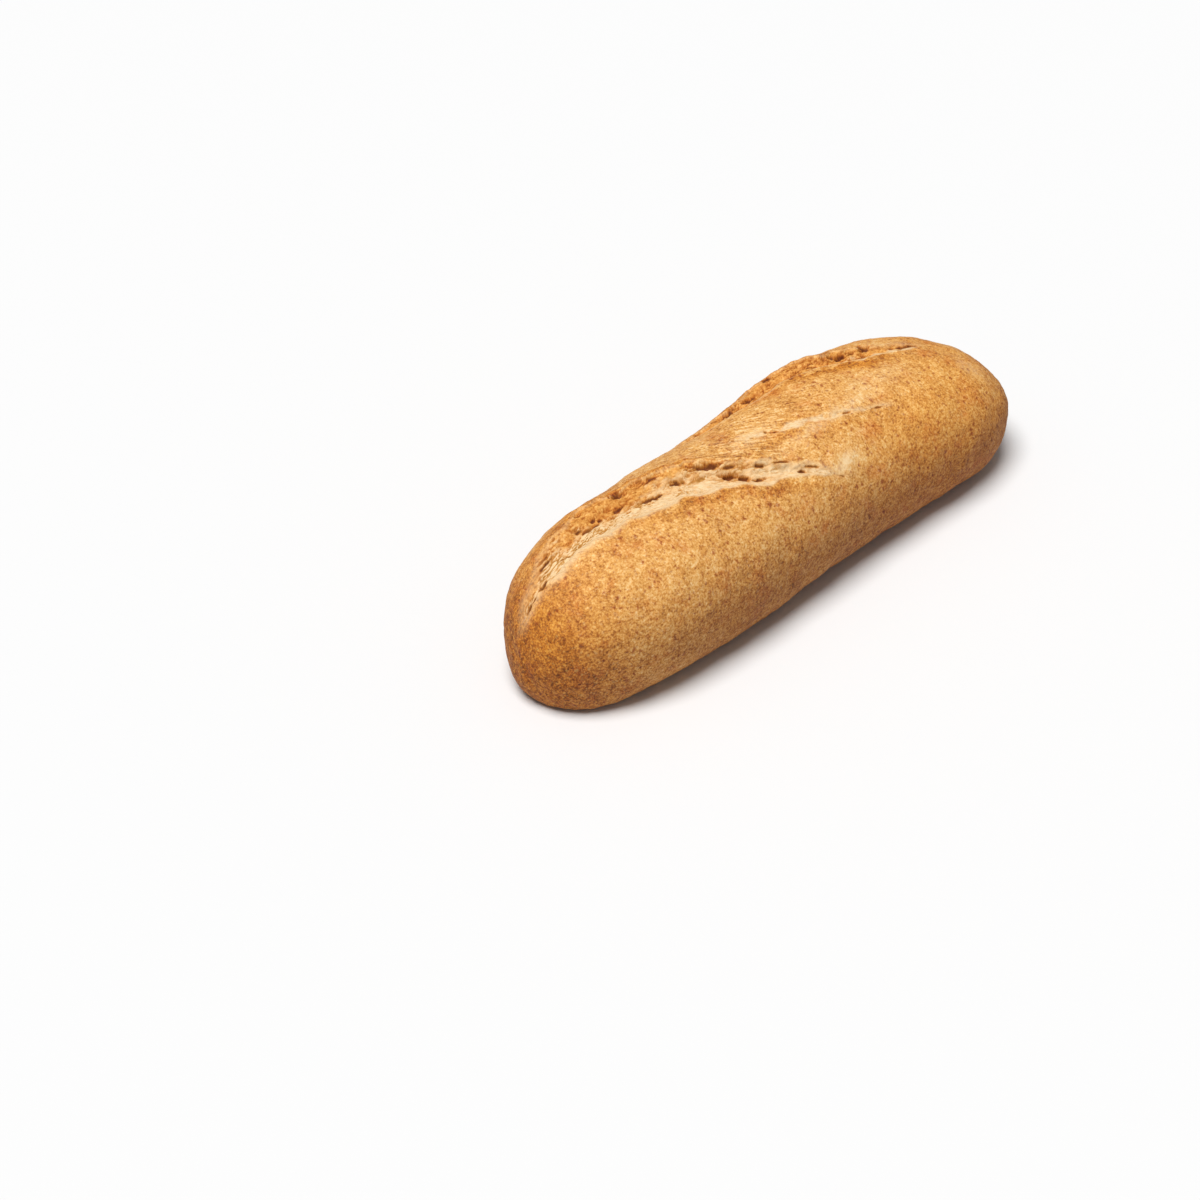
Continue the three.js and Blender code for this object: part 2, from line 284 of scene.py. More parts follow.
def hashed(cell, salt):
    """A repeatable value from 0 to 1 for each cell of a grid."""
    swirl = np.sin(cell @ np.array([127.1, 311.7]) + salt * 74.7) * 43758.5453
    return swirl - np.floor(swirl)


def bubbles(place, size, seed):
    """For scattered bubbles about size mm wide: how far each place is from the wall of its
    bubble, how far above the bubble's middle, and a value from 0 to 1 for the bubble."""
    scaled = place / np.asarray(size, float)
    corner = np.floor(scaled)
    nearest = np.full(len(place), np.inf)
    second = nearest.copy()
    above = np.zeros(len(place))
    value = np.zeros(len(place))
    for step in np.ndindex(3, 3):
        cell = corner + step - 1
        offset = scaled - cell - np.stack([hashed(cell, seed), hashed(cell, seed + 1)], axis=1)
        distance = np.linalg.norm(offset, axis=1)
        closer = distance < nearest
        second = np.where(closer, nearest, np.minimum(second, distance))
        above = np.where(closer, offset[:, 1], above)
        value = np.where(closer, hashed(cell, seed + 2), value)
        nearest = np.minimum(nearest, distance)
    return second - nearest, above, value


# ---- The body --------------------------------------------------------------------


def along_at(station):
    return (END_CROWDING * station - station ** END_CROWDING) / (END_CROWDING - 1)


def half_width_at(along):
    return WIDTH / 2 * round_off(along, PLAN_FULLNESS) * (1 + TAPER * along)


def body_points(station, turn):
    along = along_at(station)
    crest = round_off(along, np.where(along < 0, CREST_FULLNESS_NEAR, CREST_FULLNESS_FAR))
    level = HEIGHT * mix(TIP_LEVEL, WIDEST_LEVEL, crest)
    upper = np.sin(turn) >= 0
    section = np.where(upper, UPPER_SECTION, LOWER_SECTION)
    underside = HEIGHT * WIDEST_LEVEL * UNDERSIDE_DEPTH * round_off(along, UNDERSIDE_FULLNESS)
    reach = np.where(upper, HEIGHT * (1 - WIDEST_LEVEL) * crest, underside)
    middle = BOW * (1 - along * along) + SWAY * np.sin(math.pi * along)
    return np.stack([
        LENGTH / 2 * along,
        middle + half_width_at(along) * signed_power(np.cos(turn), 2 / section),
        level + reach * signed_power(np.sin(turn), 2 / section),
    ], axis=-1)


def body_normals(station, turn):
    """Outward unit normals of the body, and unit vectors across it towards -Y."""
    step = 1e-3
    inner = np.clip(station, -1 + 2 * step, 1 - 2 * step)
    lengthwise = body_points(inner + step, turn) - body_points(inner - step, turn)
    across = body_points(inner, turn + step) - body_points(inner, turn - step)
    outward = np.cross(across, lengthwise)
    outward /= np.linalg.norm(outward, axis=1, keepdims=True)
    towards_lip = np.cross(outward, [-1.0, 0.0, 0.0])
    towards_lip /= np.maximum(np.linalg.norm(towards_lip, axis=1, keepdims=True), 1e-9)
    return outward, towards_lip


def around_at(station, turn):
    turn = np.where(turn > 1.5 * math.pi, turn - 2 * math.pi, turn)
    return half_width_at(along_at(station)) * (math.pi / 2 - turn)


def swelling(x, turn):
    height = np.zeros_like(x)
    for amount, length, rounds, shift, phase in SWELLINGS:
        height += amount * np.sin(2 * math.pi * x / length + shift) * np.sin(rounds * turn + phase)
    return height


def waist(x, around):
    *place, depth = WAIST
    return -depth * patch(place, x, around)


# ---- The cuts -----------------------------------------------------------------------


def straying(x, seed):
    offset = np.zeros_like(x)
    for k, length in enumerate(RAGGED_LENGTHS):
        offset += np.sin(2 * math.pi * x / length + seed * (k + 1)) / (k + 1)
    return RAGGED * offset


def openness(cut, x):
    t = np.clip((x - cut["start"]) / (cut["end"] - cut["start"]), 0, 1)
    return np.clip(np.sin(math.pi * t ** cut["swell"]), 0, None)


def edges_at(cut, x):
    half = cut["width"] / 2 * openness(cut, x)
    middle = curve_through(cut["path"], x)
    stray = np.minimum(1, half / 4)
    lip = middle - half + stray * straying(x, cut["width"])
    ear = middle + half + stray * straying(x, cut["width"] + 2)
    return lip, ear


def near_a_cut(x, around):
    near = np.zeros(x.shape, bool)
    for cut in CUTS:
        lip, ear = edges_at(cut, x)
        inside = (x > cut["start"] - 1) & (x < cut["end"] + 1)
        near |= inside & (around > lip - CUT_MARGIN / 2) & (around < ear + CUT_MARGIN)
    return near


def only_near(near, values, count):
    """The values at the points whose numbers are in near, and 0 at the others."""
    everywhere = np.zeros(count)
    everywhere[near] = values
    return everywhere


def torn_crumb(cut, x, across):
    """The depth in mm of the torn crumb's holes and folds, and the painted shade in its creases and
    holes.
    across is the distance from the middle line of the cut."""
    place = np.stack([x, across], axis=1)
    flat = np.stack([x, across, np.zeros_like(x)], axis=1)
    warp = np.stack([grain(flat, 3.0, 11, 3), grain(flat, 3.0, 12, 3)], axis=1)
    depth = np.zeros_like(x)
    hollow_shade = np.zeros_like(x)
    for height, length, width, seed, octaves in FOLDS:
        depth += height * grain(flat, (length, width, 1), seed, octaves)
    for length, width, seed, deepest in CREASES:
        crease = 1 - smooth_step(np.abs(grain(flat, (length, width, 1), seed, 3)), 0.02, 0.16)
        crease *= smooth_step(grain(flat, (length, width * 1.5, 1), seed + 5), -0.25, 0.15)
        depth += deepest * crease
        # painted shade along the creases
        hollow_shade = np.maximum(hollow_shade, crease * (0.4 + deepest / 2))
    for size, (length, width, share, deepest) in enumerate(HOLES):
        seed = cut["width"] + 5 * size
        wall, above, value = bubbles(place + warp * 0.4 * width, (length, width), seed)
        hole = smooth_step(value, 1 - share, 1 - share / 2) * smooth_step(wall, 0.04, 0.2)
        depth += deepest * hole * smooth_step(above, -0.9, 0.1)
        # painted shade in the holes, darkest at their edge on the ear's side
        hollow_shade = np.maximum(hollow_shade, hole * smooth_step(above, -0.5, 0.2) * min(1, 0.5 + deepest / 2))
    return depth, hollow_shade


def pits_surface(cut, x, across):
    """The depth in mm of the cut's own pits, their painted shade and how toasted each place is."""
    depth = np.zeros_like(x)
    shade = np.zeros_like(x)
    toasted = np.zeros_like(x)
    for *place, pit in cut["pits"]:
        reach = reach_from(place, x, across)
        near = np.flatnonzero(reach < PIT_REACH)
        flat = np.stack([x[near], across[near], np.zeros(len(near))], axis=1)
        strayed = reach[near] + 0.8 * grain(flat, (1.8, 0.9, 1), 7, 3)
        inside = 1 - smooth_step(strayed, 0.5, 1.25)
        _, middle, _, half_width = place
        above = (across[near] - middle) / half_width
        depth[near] = np.maximum(depth[near], pit * inside)
        # painted shadow, darkest under the pit's edge on the ear's side
        shadow_under_the_edge = mix(0.3, 1, smooth_step(above, -0.8, 0.2))
        shade[near] = np.maximum(shade[near], inside * shadow_under_the_edge * min(1, 0.7 + pit / 3))
        toasted[near] = np.maximum(toasted[near], bell(strayed / 1.9) * min(1, 0.4 + pit / 3))
    return depth, shade, toasted


def calmness(cut, x, from_middle):
    """How smooth the crumb is at the cut's own smooth places, from 0 to 1."""
    calm = np.zeros_like(x)
    for place in cut["calm"]:
        calm = np.maximum(calm, patch(place, x, from_middle))
    return calm


def rim_along(edge_rim, past_edge):
    middle, half_width, strength = edge_rim
    return strength * bell((past_edge - middle) / half_width)


def rims(x, past_lip, past_ear, patchy, faint):
    """How browned the crust is beside the lip and the ear of a cut."""
    lip_rim = rim_along(LIP_RIM, -past_lip) * smooth_step(patchy, -0.4, 0.2)
    lip_rim *= mix(1, 0.3, faint) * mix(0.6, 1.3, smooth_step(x, -32, -8))
    ear_rim = rim_along(EAR_RIM, past_ear) * smooth_step(patchy, -0.6, 0.3)
    faint_ear_rim = rim_along(FAINT_EAR_RIM, past_ear) * faint
    return np.maximum.reduce([lip_rim, ear_rim, faint_ear_rim])


def cut_surface(cut, x, around):
    """What a cut does to the crust: how far it raises it and leans it over, and the looks
    that the material needs. Every value is an array with one entry for each point."""
    count = len(x)
    near = np.flatnonzero(near_a_cut(x, around))
    flat = np.stack([x[near], around[near], np.full(len(near), cut["width"])], axis=1)
    size = min(1, cut["width"] / 8)
    stray_lip = LIP_STRAY * size * only_near(near, grain(flat * [0.4, 1, 1], 2.6, 3, 3), count)
    stray_ear = EAR_STRAY * size * only_near(near, grain(flat * [0.6, 1, 1], 3.0, 4, 3), count)
    patchy = only_near(near, grain(flat, (7, 3, 1), 8, 3), count)
    smoother = only_near(near, 1 - smooth_step(grain(flat, (12, 4, 1), 14, 2), -0.2, 0.3), count)

    # The lip, the floor, the wall and the ear.
    open_ = openness(cut, x)
    fade = np.minimum(1, open_ * 1.2) ** 1.5
    lip, ear = edges_at(cut, x)
    past_lip = around - lip - stray_lip
    past_ear = around - ear - stray_ear
    gap = np.maximum(ear - lip, 1)
    wall = smooth_step(past_ear, -gap * WALL_SHARE, 0)
    sharp = np.clip(np.minimum(open_ * 1.3, (x - cut["start"]) / cut["soft_until"]), 0, 1)
    edge = mix(SOFT_EDGE, CRUST_EDGE, sharp)
    crust_edge = smooth_step(past_ear / edge, -1, 1)
    up_ear = mix(wall, crust_edge, CRUST_SHARE)
    on_ear = up_ear * np.exp(-np.maximum(past_ear, 0) / cut["back"])
    on_floor = smooth_step(past_lip, 0, LIP_SLOPE) * (1 - up_ear)
    across = np.clip(past_lip / gap, 0, 1)
    from_lowest = (across - LOWEST) / LOWEST_SPREAD

    # The torn crumb and its pits.
    faint = 1 - smooth_step(x, cut["faint_until"] - 20, cut["faint_until"] + 10)
    border = mix(CLEAR_BORDER, FAINT_BORDER, faint)
    torn = smooth_step((past_lip - 0.3) / border, -1, 1) * (1 - crust_edge)
    torn *= np.minimum(1, open_ * 5)
    from_middle = around - curve_through(cut["path"], x)
    crumb_depth, crumb_shade = torn_crumb(cut, x[near], from_middle[near])
    pit_depth, pit_shade, pit_toasted = pits_surface(cut, x, from_middle)
    calm = calmness(cut, x, from_middle)
    coarse = mix(0.15, 1, smooth_step(past_lip / mix(1, gap, 0.5), 0.15, 0.6))
    coarse *= mix(1, 0.6, smoother) * mix(1, 0.2, calm)
    raise_ = fade * (cut["lip"] * bell(past_lip / LIP_SPREAD) + cut["ear"] * on_ear
                     - cut["floor"] * on_floor * mix(0.55, 1, bell(from_lowest)))
    raise_ -= fade * torn * cut["rough"] * coarse * only_near(near, crumb_depth, count)
    raise_ -= pit_depth

    # What the material needs.
    bridged = cut["broken"] * (1 - smooth_step(patchy, -0.4, 0.1))
    torn = torn * (1 - bridged)
    pale = curve_through(cut["pale"], x)
    browned = smooth_step(across + 0.35 * patchy, pale - 0.1, pale + 0.25)
    browned = np.maximum(browned, 0.8 * pit_toasted) * (1 - calm)
    # painted shade of the crumb's creases and holes, half as strong in the pale crumb
    hollow_shade = only_near(near, crumb_shade, count) * mix(1, 0.5, smooth_step(pale, 0.6, 1.1))
    return {
        "raise": raise_,
        "lean": fade * cut["lean"] * on_ear,
        "torn": torn,
        "browned": browned * torn,
        # painted shade in the torn crumb and its pits
        "hollow_shade": np.maximum(hollow_shade * torn * coarse * cut["rough"], pit_shade),
        "rim": rims(x, past_lip, past_ear, patchy, faint) * fade * size * (1 - torn),
    }


# ---- The mesh --------------------------------------------------------------------------


def box_lattice(length_steps, side_steps):
    """Points on a box from -1 to 1 and the quads between them."""
    counts = np.array([length_steps, side_steps, side_steps])
    corners = []
    for axis in range(3):
        others = [a for a in range(3) if a != axis]
        u, v = np.meshgrid(np.arange(counts[others[0]]), np.arange(counts[others[1]]), indexing="ij")
        for end in (0, counts[axis]):
            quad = np.zeros((u.size, 4, 3), int)
            quad[:, :, axis] = end
            for corner, (du, dv) in enumerate(((0, 0), (1, 0), (1, 1), (0, 1))):
                quad[:, corner, others[0]] = u.ravel() + du
                quad[:, corner, others[1]] = v.ravel() + dv
            corners.append(quad)
    corners = np.concatenate(corners)
    points, index = np.unique(corners.reshape(-1, 3), axis=0, return_inverse=True)
    return points / counts * 2 - 1, index.reshape(-1, 4)


def square_angle(u, v):
    """Angle of a point on the square (u, v), with equal steps along each side."""
    quarter = math.pi / 4
    wide = np.abs(u) >= np.abs(v)
    ratio = np.where(wide, v, u) / np.where(wide, np.where(u == 0, 1, u), np.where(v == 0, 1, v))
    right_left = np.where(u > 0, quarter * ratio, math.pi + quarter * ratio)
    up_down = np.where(v > 0, 2 * quarter - quarter * ratio, 6 * quarter - quarter * ratio)
    return np.where(wide, right_left, up_down)


def wrap_box(points):
    """Station and turn of points on the box."""
    x, y, z = points.T
    on_cap = np.abs(x) > 1 - 1e-6
    rim = np.maximum(np.abs(y), np.abs(z))
    station = np.where(on_cap, np.sign(x) * (1 - (1 - CAP_START) * rim), x * CAP_START)
    return station, square_angle(y, z)


def wrapped_mesh():
    """A bmesh on the box, finer where the cuts will be."""
    points, quads = box_lattice(LENGTH_STEPS, SIDE_STEPS)
    mesh = bpy.data.meshes.new("lattice")
    mesh.from_pydata(points.tolist(), [], quads.tolist())
    bm = bmesh.new()
    bm.from_mesh(mesh)
    bpy.data.meshes.remove(mesh)
    bmesh.ops.recalc_face_normals(bm, faces=bm.faces)
    centres = np.array([f.calc_center_median() for f in bm.faces])
    station, turn = wrap_box(centres)
    chosen = near_a_cut(LENGTH / 2 * along_at(station), around_at(station, turn))
    edges = {e for f, pick in zip(bm.faces, chosen) if pick for e in f.edges}
    bmesh.ops.subdivide_edges(bm, edges=list(edges), cuts=CUT_REFINING - 1, use_grid_fill=True)
    bmesh.ops.triangulate(bm, faces=[f for f in bm.faces if len(f.verts) > 4])
    return bm


# ---- The crust's surface -------------------------------------------------------------------

CUT_LOOKS = ("torn", "browned", "hollow_shade", "rim")


def crust_surface(station, turn):
    """Places of the crust's points, and what the material needs to know about each."""
    body = body_points(station, turn)
    outward, towards_lip = body_normals(station, turn)
    x = body[:, 0]
    around = around_at(station, turn)
    rolled = np.stack([x, around, np.zeros_like(x)], axis=-1)
    on_top = smooth_step(body[:, 2], HEIGHT * 0.3, HEIGHT * 0.5)

    raise_ = swelling(x, turn) + waist(x, around)
    for height, size, seed, octaves in UNEVENNESS:
        raise_ += height * grain(body, size, seed, octaves)
    lean = np.zeros_like(x)
    looks = {name: np.zeros_like(x) for name in (*CUT_LOOKS, "pale")}
    for cut in CUTS:
        surface = cut_surface(cut, x, around)
        raise_ += on_top * surface["raise"]
        lean += on_top * surface["lean"]
        for name in CUT_LOOKS:
            looks[name] = np.maximum(looks[name], surface[name] * on_top)

    for *place, strength in PALE_PATCHES:
        looks["pale"] = np.maximum(looks["pale"], strength * patch(place, x, around))
    looks["stretched"] = patch(STRETCHED, x, around) * (1 - looks["torn"]) * (1 - looks["rim"])

    points = body + outward * raise_[:, None] + towards_lip * lean[:, None]
    points[:, 2] = flatten_below(points[:, 2], BASE_EDGE)
    return points, looks, rolled


def centre_over_origin(points):
    low, high = points.min(axis=0), points.max(axis=0)
    return points - [(low[0] + high[0]) / 2, (low[1] + high[1]) / 2, low[2]]


def eased(points, bm, share):
    """The points with the zigzags of steep torn edges evened out: each one is moved towards
    the middle of its neighbours by its share of EASING, EASING_ROUNDS times."""
    edges = np.array([[v.index for v in e.verts] for e in bm.edges])
    ends = np.concatenate([edges, edges[:, ::-1]])
    neighbours = np.bincount(ends[:, 0], minlength=len(points))[:, None]
    share = (EASING * share)[:, None]
    for _ in range(EASING_ROUNDS):
        total = [np.bincount(ends[:, 0], points[ends[:, 1], axis], len(points)) for axis in range(3)]
        points = mix(points, np.stack(total, axis=1) / neighbours, share)
    return points


def loaf_object():
    bm = wrapped_mesh()
    box_points = np.array([v.co for v in bm.verts], float)
    points, looks, rolled = crust_surface(*wrap_box(box_points))
    points = eased(points, bm, np.maximum(looks["torn"], looks["hollow_shade"]))
    points = centre_over_origin(points)
    mesh = bpy.data.meshes.new("loaf_crust")
    bm.to_mesh(mesh)
    bm.free()
    mesh.vertices.foreach_set("co", (points * MM).ravel())
    mesh.polygons.foreach_set("use_smooth", np.ones(len(mesh.polygons), bool))
    for name, values in looks.items():
        mesh.attributes.new(name, "FLOAT", "POINT").data.foreach_set("value", values)
    mesh.attributes.new("rolled", "FLOAT_VECTOR", "POINT").data.foreach_set("vector", rolled.ravel())
    mesh.update()
    loaf = bpy.data.objects.new("loaf_crust", mesh)
    bpy.context.scene.collection.objects.link(loaf)
    return loaf


# ---- Materials -------------------------------------------------------------------------------


class Nodes:
    """Short calls for building a material's node tree."""

    def __init__(self, material):
        material.use_nodes = True
        self.tree = material.node_tree
        self.tree.nodes.clear()

    def add(self, kind, inputs=None, **settings):
        node = self.tree.nodes.new(kind)
        for name, value in settings.items():
            setattr(node, name, value)
        for name, value in (inputs or {}).items():
            self.set(node.inputs[name], value)
        return node

    def set(self, socket, value):
        if isinstance(value, bpy.types.NodeSocket):
            self.tree.links.new(value, socket)
        else:
            socket.default_value = value

    def look(self, name):
        return self.add("ShaderNodeAttribute", attribute_name=name).outputs["Fac"]

    def scaled(self, place, scale, rotation=(0, 0, 0)):
        inputs = {"Vector": place, "Scale": scale, "Rotation": rotation}
        return self.add("ShaderNodeMapping", inputs).outputs["Vector"]

    def noise(self, place, size, detail=2.0, roughness=0.5, distortion=0.0):
        """Noise of about size mm, from 0 to 1."""
        inputs = {"Vector": place, "Scale": 1 / size, "Detail": detail, "Roughness": roughness,
                  "Distortion": distortion}
        return self.add("ShaderNodeTexNoise", inputs).outputs["Fac"]

    def flecks(self, place, size, share, largest, softness):
        """Scattered flecks on a grid of size mm: the share of cells that have one, and the
        largest one's half-width as a share of size."""
        bend = self.add("ShaderNodeTexNoise", {"Vector": place, "Scale": 1.6 / size, "Detail": 2.0})
        bent = self.vector("ADD", place, self.vector("SCALE", bend.outputs["Color"], scale=size * 0.9))
        cell = self.add("ShaderNodeTexVoronoi", {"Vector": bent, "Scale": 1 / size})
        value = self.add("ShaderNodeSeparateXYZ", {"Vector": cell.outputs["Color"]}).outputs["X"]
        reach = self.ramp(value, 1 - share, 1.0, -softness, largest)
        inside = self.math("SUBTRACT", reach, cell.outputs["Distance"])
        return self.ramp(inside, -softness / 2, softness)

    def vector(self, operation, a, b=(0, 0, 0), scale=1.0):
        node = self.add("ShaderNodeVectorMath", operation=operation)
        self.set(node.inputs[0], a)
        if operation == "SCALE":
            self.set(node.inputs["Scale"], scale)
        else:
            self.set(node.inputs[1], b)
        return node.outputs["Vector"]

    def math(self, operation, a, b=0.0, clamp=False):
        node = self.add("ShaderNodeMath", operation=operation, use_clamp=clamp)
        self.set(node.inputs[0], a)
        self.set(node.inputs[1], b)
        return node.outputs[0]

    def total(self, *terms):
        result = terms[0]
        for term in terms[1:]:
            result = self.math("ADD", result, term)
        return result

    def swing(self, value, amount):
        """A value from 0 to 1 as one from -amount to amount."""
        return self.math("MULTIPLY", self.math("SUBTRACT", value, 0.5), 2 * amount)

    def ramp(self, value, low, high, to_low=0.0, to_high=1.0):
        inputs = {"Value": value, "From Min": low, "From Max": high,
                  "To Min": to_low, "To Max": to_high}
        return self.add("ShaderNodeMapRange", inputs, interpolation_type="SMOOTHSTEP").outputs["Result"]

    def blend(self, share, a, b, blend_type="MIX"):
        node = self.add("ShaderNodeMix", data_type="RGBA", blend_type=blend_type)
        self.set(node.inputs[0], share)
        self.set(node.inputs[6], a)
        self.set(node.inputs[7], b)
        return node.outputs[2]

    def tint(self, share, colour, tint):
        return self.blend(share, colour, tint, "MULTIPLY")

    def colours(self, value, stops):
        node = self.add("ShaderNodeValToRGB", {"Fac": value})
        elements = node.color_ramp.elements
        while len(elements) < len(stops):
            elements.new(0.5)
        for element, (place, colour) in zip(elements, stops):
            element.position = place
            element.color = (*colour, 1)
        return node.outputs["Color"]


# Crust colours from hardly baked to nearly burnt, in linear light.
BAKED = [
    (0.0, (0.86, 0.60, 0.30)),
    (0.25, (0.78, 0.435, 0.135)),
    (0.45, (0.65, 0.300, 0.066)),
    (0.70, (0.43, 0.160, 0.026)),
    (1.0, (0.18, 0.060, 0.011)),
]
FIBRE = (0.86, 0.62, 0.34, 1)
CRUMB = (0.80, 0.59, 0.34, 1)
# Tints that the colours are multiplied by.
BRAN = (0.58, 0.36, 0.26, 1)
BLUSH = (0.90, 0.72, 0.58, 1)  # darker blotches of the crust
ORANGE = (1.0, 0.82, 0.36, 1)  # the ends, the rims and the toasted crumb
FLANK_DULLING_AND_SHADE = (0.62, 0.50, 0.34, 1)  # the lower flanks: a duller tone and painted shade
SHADED = (0.66, 0.44, 0.16, 1)  # painted shade on the sides of the crumb's holes
DEEP_SHADE = (0.32, 0.21, 0.06, 1)  # and darker painted shade at their bottoms

STREAK_SLANT = math.radians(30)  # the stretched skin's streaks turn this far towards -Y
BAKING = 0.40  # how baked the crust is on the whole
TOASTING = 0.42  # and the browned crumb
BUMP_DEPTH = 0.35  # mm


def crust_material():
    material = bpy.data.materials.new("wholemeal_crust")
    n = Nodes(material)

    # Places in mm, and noises and slopes that are used more than once.
    place = n.vector("SCALE", n.add("ShaderNodeTexCoord").outputs["Object"], scale=1 / MM)
    split = n.add("ShaderNodeSeparateXYZ", {"Vector": place})
    rolled = n.add("ShaderNodeAttribute", attribute_name="rolled").outputs["Vector"]
    slanted = n.scaled(rolled, (1, 1, 1), (0, 0, STREAK_SLANT))
    streaked = n.scaled(slanted, (0.16, 1, 1))
    torn = n.look("torn")
    along = split.outputs["X"]
    height = split.outputs["Z"]
    left_end = n.ramp(along, -82, -106)
    left_tip = n.ramp(along, -92, -110)
    low = n.ramp(height, 47, 16)
    fine = n.noise(place, 0.7, 2.0, 0.6)
    medium = n.noise(place, 1.8, 3.0, 0.6)
    streaks = n.noise(streaked, 0.9, 3.0, 0.6)
    strands = n.noise(n.scaled(slanted, (0.3, 1, 1)), 0.7, 3.0, 0.65)

    # How baked the crust is, with its blotches, bran and fibres.
    baked = n.total(
        BAKING,
        n.swing(n.noise(place, 26, 2.0), 0.16),
        n.swing(n.noise(place, 6, 3.0, 0.6), 0.28),
        n.swing(medium, 0.42),
        n.swing(fine, 0.62),
        n.math("MULTIPLY", n.swing(streaks, 1.1), n.look("stretched")),
        n.math("MULTIPLY", n.swing(fine, 0.25), low),
        n.math("MULTIPLY", left_end, 0.15),
        n.math("MULTIPLY", left_tip, 0.05),
        # darker low down: partly a duller tone, partly painted shade
        n.math("MULTIPLY", low, 0.10),
        n.math("MULTIPLY", n.look("rim"), 0.30),
        n.math("MULTIPLY", n.look("pale"), -0.22),
    )
    crust = n.colours(baked, BAKED)
    blush = n.ramp(n.noise(place, 8, 4.0, 0.65), 0.50, 0.70)
    crust = n.tint(blush, crust, BLUSH)
    big_bran = n.flecks(place, size=2.3, share=1.0, largest=0.34, softness=0.20)
    small_bran = n.flecks(place, size=1.2, share=0.9, largest=0.36, softness=0.20)
    dark_bran = n.flecks(place, size=4.6, share=0.8, largest=0.15, softness=0.06)
    pale_flecks = n.flecks(place, size=1.7, share=0.9, largest=0.34, softness=0.20)
    crust = n.tint(big_bran, crust, BRAN)
    crust = n.tint(n.math("MULTIPLY", small_bran, 0.8), crust, BRAN)
    crust = n.tint(n.math("MULTIPLY", dark_bran, 0.8), crust, BRAN)
    curled = n.noise(place, 1.6, 3.0, distortion=3.0)
    fibres = n.math("MAXIMUM", n.ramp(curled, 0.56, 0.68), pale_flecks)
    crust = n.blend(n.math("MULTIPLY", fibres, n.ramp(low, 0.0, 1.0, 0.25, 0.40)), crust, FIBRE)

    # The more orange ends, the paler patches, and the lower flanks: duller, and with painted shade.
    right_half = n.math("MULTIPLY", n.ramp(along, 15, 50, 0.0, 0.45), n.ramp(height, 51, 42))
    orange = n.math("MAXIMUM", left_tip, right_half)
    orange = n.math("MAXIMUM", orange, n.math("MULTIPLY", left_end, 0.5))
    crust = n.tint(n.math("MAXIMUM", orange, n.look("rim"), clamp=True), crust, ORANGE)
    dusty = n.ramp(n.noise(place, 2.2, 3.0, 0.65), 0.40, 0.62, 0.2, 0.8)
    crust = n.blend(n.math("MULTIPLY", n.look("pale"), dusty), crust, CRUMB)
    # the lower flanks' duller tone and painted shade, weaker towards the -X end
    crust = n.tint(n.math("MULTIPLY", low, n.ramp(along, -115, -30, 0.5, 1.0)), crust, FLANK_DULLING_AND_SHADE)

    # The torn crumb, and the shade in its holes.
    toasted = n.colours(n.total(TOASTING, n.swing(medium, 0.40), n.swing(fine, 0.40)), BAKED)
    pale_crumb = n.blend(n.ramp(strands, 0.42, 0.70, 0.0, 0.6), CRUMB, toasted)
    toasted = n.tint(n.math("MULTIPLY", n.look("browned"), 0.3), toasted, ORANGE)
    crumb = n.blend(n.look("browned"), pale_crumb, toasted)
    crumb = n.tint(n.math("MULTIPLY", small_bran, 0.35), crumb, BRAN)
    colour = n.blend(torn, crust, crumb)
    # painted shade in the crumb's creases, holes and pits
    colour = n.tint(n.ramp(n.look("hollow_shade"), 0.0, 0.5), colour, SHADED)
    colour = n.tint(n.ramp(n.look("hollow_shade"), 0.35, 0.95), colour, DEEP_SHADE)

    # Relief too fine for the mesh.
    bumps = n.total(
        n.math("MULTIPLY", fine, 0.30),
        n.math("MULTIPLY", medium, 0.7),
        n.math("MULTIPLY", n.math("MULTIPLY", streaks, 0.8), n.look("stretched")),
        n.math("MULTIPLY", small_bran, -0.15),
        n.math("MULTIPLY", n.math("MULTIPLY", strands, 1.2), torn),
    )
    bump = n.add("ShaderNodeBump", {"Height": bumps, "Strength": 0.7, "Distance": BUMP_DEPTH * MM})
    shader = n.add("ShaderNodeBsdfPrincipled", {
        "Base Color": colour,
        "Roughness": n.ramp(medium, 0.3, 0.7, 0.66, 0.86),
        "Normal": bump.outputs["Normal"],
        "Specular IOR Level": 0.35,
    })
    n.add("ShaderNodeOutputMaterial", {"Surface": shader.outputs["BSDF"]})
    return material


def plain_material(name, colour, roughness):
    material = bpy.data.materials.new(name)
    n = Nodes(material)
    shader = n.add("ShaderNodeBsdfPrincipled", {"Base Color": colour, "Roughness": roughness})
    n.add("ShaderNodeOutputMaterial", {"Surface": shader.outputs["BSDF"]})
    return material


# ---- The studio --------------------------------------------------------------------------------


VIEW_TURN = math.radians(45.2)  # the camera looks this far from +Y towards +X
VIEW_DROP = math.radians(38)  # and this far down
VIEW_DISTANCE = 1100
VIEW_LENS = 98.5
ASIDE = 52.6  # the loaf stands this far right of the middle of the picture
ABOVE = 15.5  # and this far above it

KEY_PLACE = (-0.38, -0.06, 1.2)  # metres
KEY_BREADTH = math.radians(31)
KEY_STRENGTH = 3.6
WORLD_STRENGTH = 0.22
FLOOR_HALF = 30  # metres
FLOOR_DROP = 0.0002  # metres below the loaf's base
FLOOR_COLOUR = (0.75, 0.75, 0.75, 1)


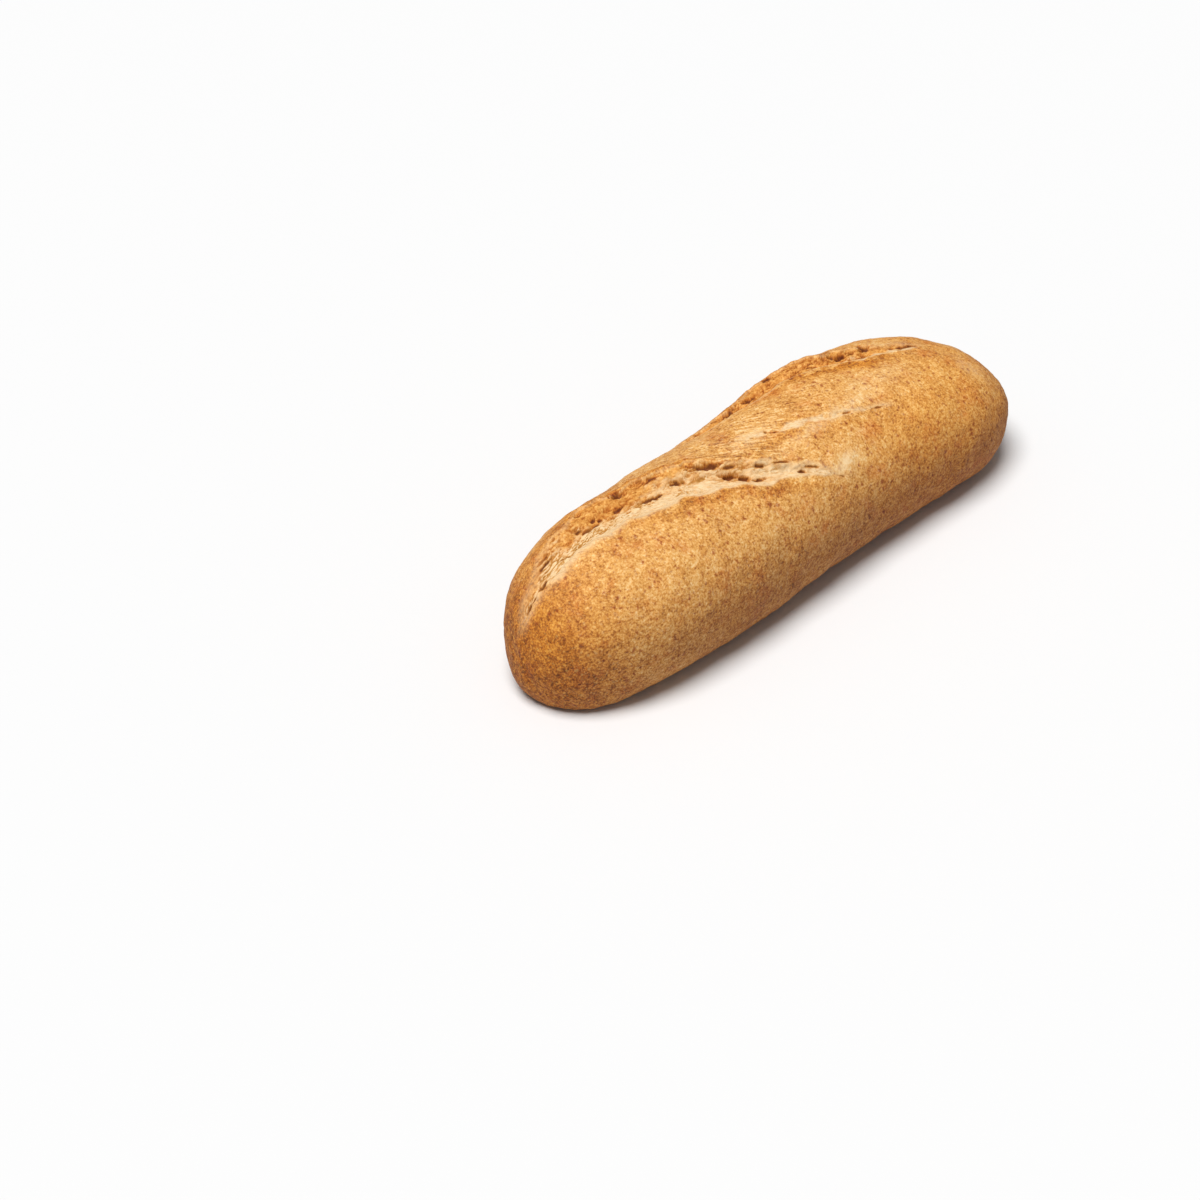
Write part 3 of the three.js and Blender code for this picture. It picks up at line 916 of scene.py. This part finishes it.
def floor_object():
    half = FLOOR_HALF
    mesh = bpy.data.meshes.new("studio_floor")
    corners = [(-half, -half, 0), (half, -half, 0), (half, half, 0), (-half, half, 0)]
    mesh.from_pydata(corners, [], [(0, 1, 2, 3)])
    floor = bpy.data.objects.new("studio_floor", mesh)
    floor.location.z = -FLOOR_DROP
    bpy.context.scene.collection.objects.link(floor)
    mesh.materials.append(plain_material("pale_floor", FLOOR_COLOUR, 0.9))
    return floor


def aim(obj, forward, location):
    turn = forward.to_track_quat("-Z", "Y").to_matrix().to_4x4()
    obj.matrix_world = Matrix.Translation(location) @ turn


def add_camera():
    forward = Vector((math.sin(VIEW_TURN) * math.cos(VIEW_DROP),
                      math.cos(VIEW_TURN) * math.cos(VIEW_DROP), -math.sin(VIEW_DROP)))
    right = Vector((math.cos(VIEW_TURN), -math.sin(VIEW_TURN), 0))
    up = right.cross(forward)
    location = (-VIEW_DISTANCE * forward - ASIDE * right - ABOVE * up) * MM
    data = bpy.data.cameras.new("camera")
    data.lens = VIEW_LENS
    data.sensor_width = 36
    data.clip_start = 0.05
    camera = bpy.data.objects.new("camera", data)
    bpy.context.scene.collection.objects.link(camera)
    aim(camera, forward, location)
    bpy.context.scene.camera = camera


def add_key_light():
    """A broad, even light from high above, a little from the near side."""
    data = bpy.data.lights.new("key", "SUN")
    data.angle = KEY_BREADTH
    data.energy = KEY_STRENGTH
    light = bpy.data.objects.new("key", data)
    bpy.context.scene.collection.objects.link(light)
    place = Vector(KEY_PLACE)
    aim(light, -place, place)


def studio():
    floor_object()
    add_key_light()
    world = bpy.data.worlds.new("studio_world")
    world.use_nodes = True
    background = world.node_tree.nodes["Background"]
    background.inputs["Color"].default_value = (1, 1, 1, 1)
    background.inputs["Strength"].default_value = WORLD_STRENGTH
    scene = bpy.context.scene
    scene.world = world
    scene.view_settings.view_transform = "Standard"


# ---- The scene ------------------------------------------------------------------------------------

loaf = loaf_object()
loaf.data.materials.append(crust_material())
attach(loaf, "root")
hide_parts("loaf")
add_camera()
studio()
